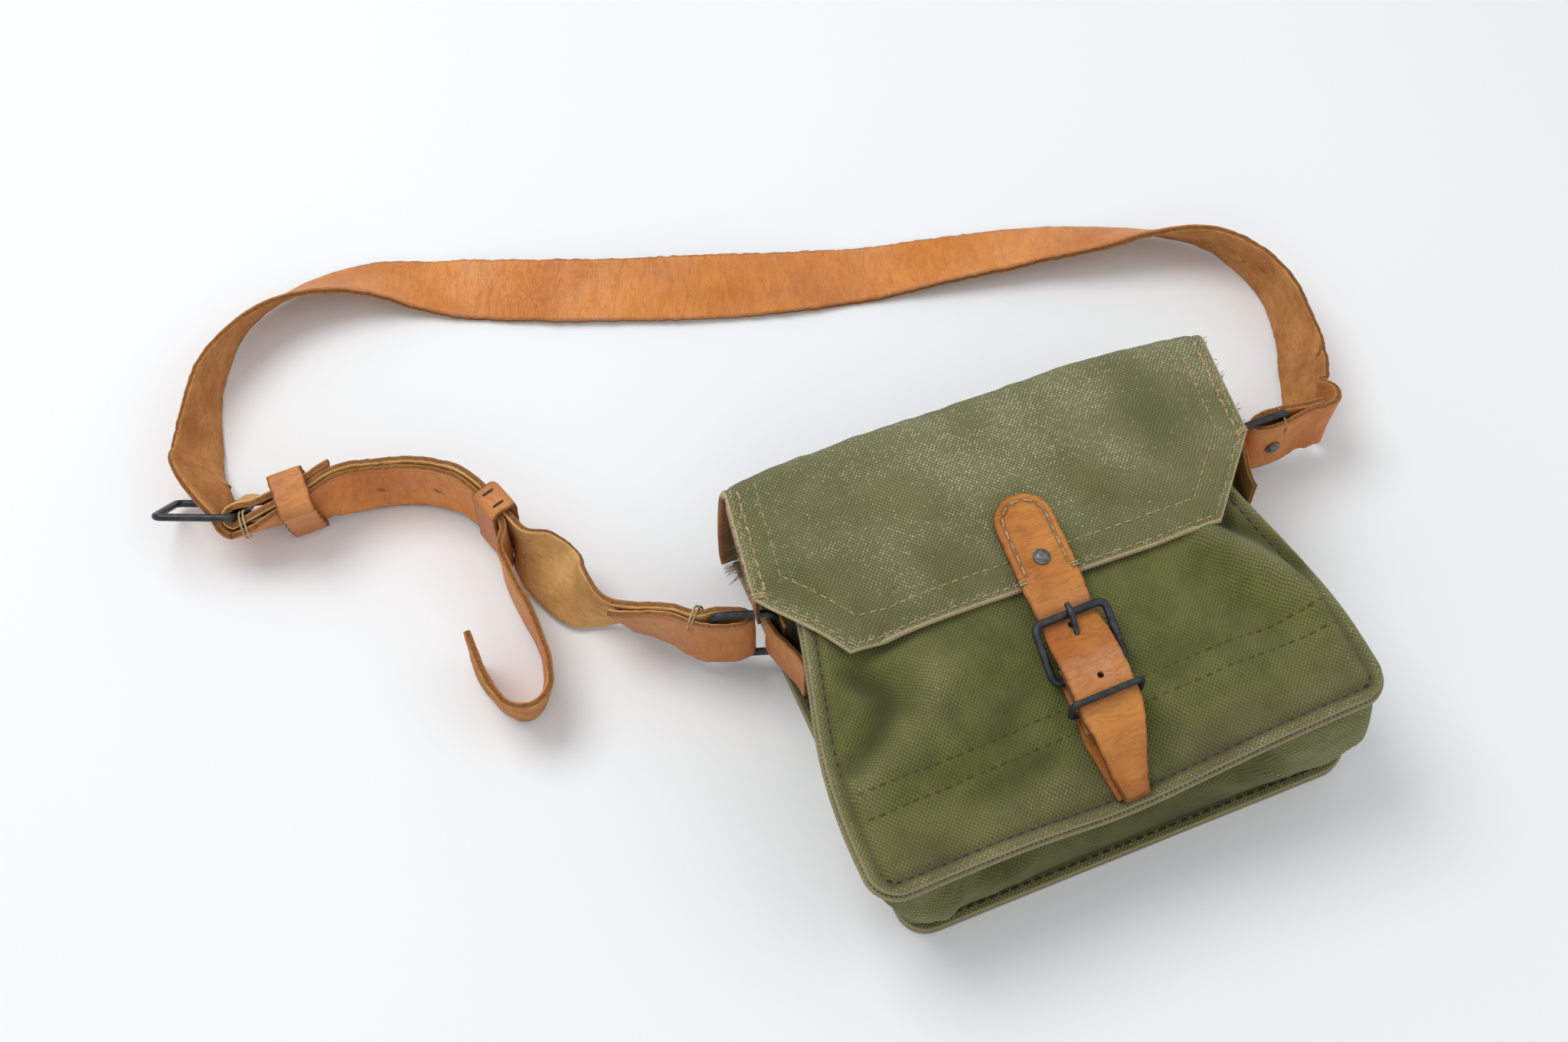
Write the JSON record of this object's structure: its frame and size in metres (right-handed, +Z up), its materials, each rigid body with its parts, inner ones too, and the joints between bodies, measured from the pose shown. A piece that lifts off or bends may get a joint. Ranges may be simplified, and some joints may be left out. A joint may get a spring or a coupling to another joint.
{
  "type": "canvas haversack",
  "caption": "Green canvas haversack lying on its back, with a buckled leather closure and a long leather shoulder strap on wire rings.",
  "frame": {"origin": "on the rest surface under the middle of the back panel", "axes": "+X to the viewer's right across the bag, +Y towards the flap's hinge, +Z up out of the front panel"},
  "size_m": [0.5059, 0.4004, 0.0853],
  "materials": {
    "canvas": "worn heavy plain-weave cotton",
    "flap_canvas": "sun-faded heavy plain-weave cotton",
    "leather": "waxed tan, creased and worn",
    "dark_leather": "aged dark brown, matt",
    "blued_wire": "blackened steel wire, semi-gloss",
    "rivet_metal": "dull worn metal"
  },
  "bodies": {
    "root": {"front_panel": "canvas", "back_panel": "canvas", "gusset": "canvas", "flap": "flap_canvas", "flap_ear_left": "dark_leather", "flap_ear_right": "dark_leather", "closure_billet": "leather", "closure_chape": "dark_leather", "closure_rivet": "rivet_metal", "buckle_frame": "blued_wire", "buckle_prong": "blued_wire", "closure_keeper": "blued_wire", "side_tab_left": "leather", "side_tab_right": "leather", "side_ring_left": "blued_wire", "side_ring_right": "blued_wire", "adjuster_ring": "blued_wire", "shoulder_strap": "leather", "strap_rivet": "rivet_metal", "adjuster_strap": "leather", "strap_keeper_1": "leather", "strap_keeper_2": "leather"}
  },
  "joints": []
}
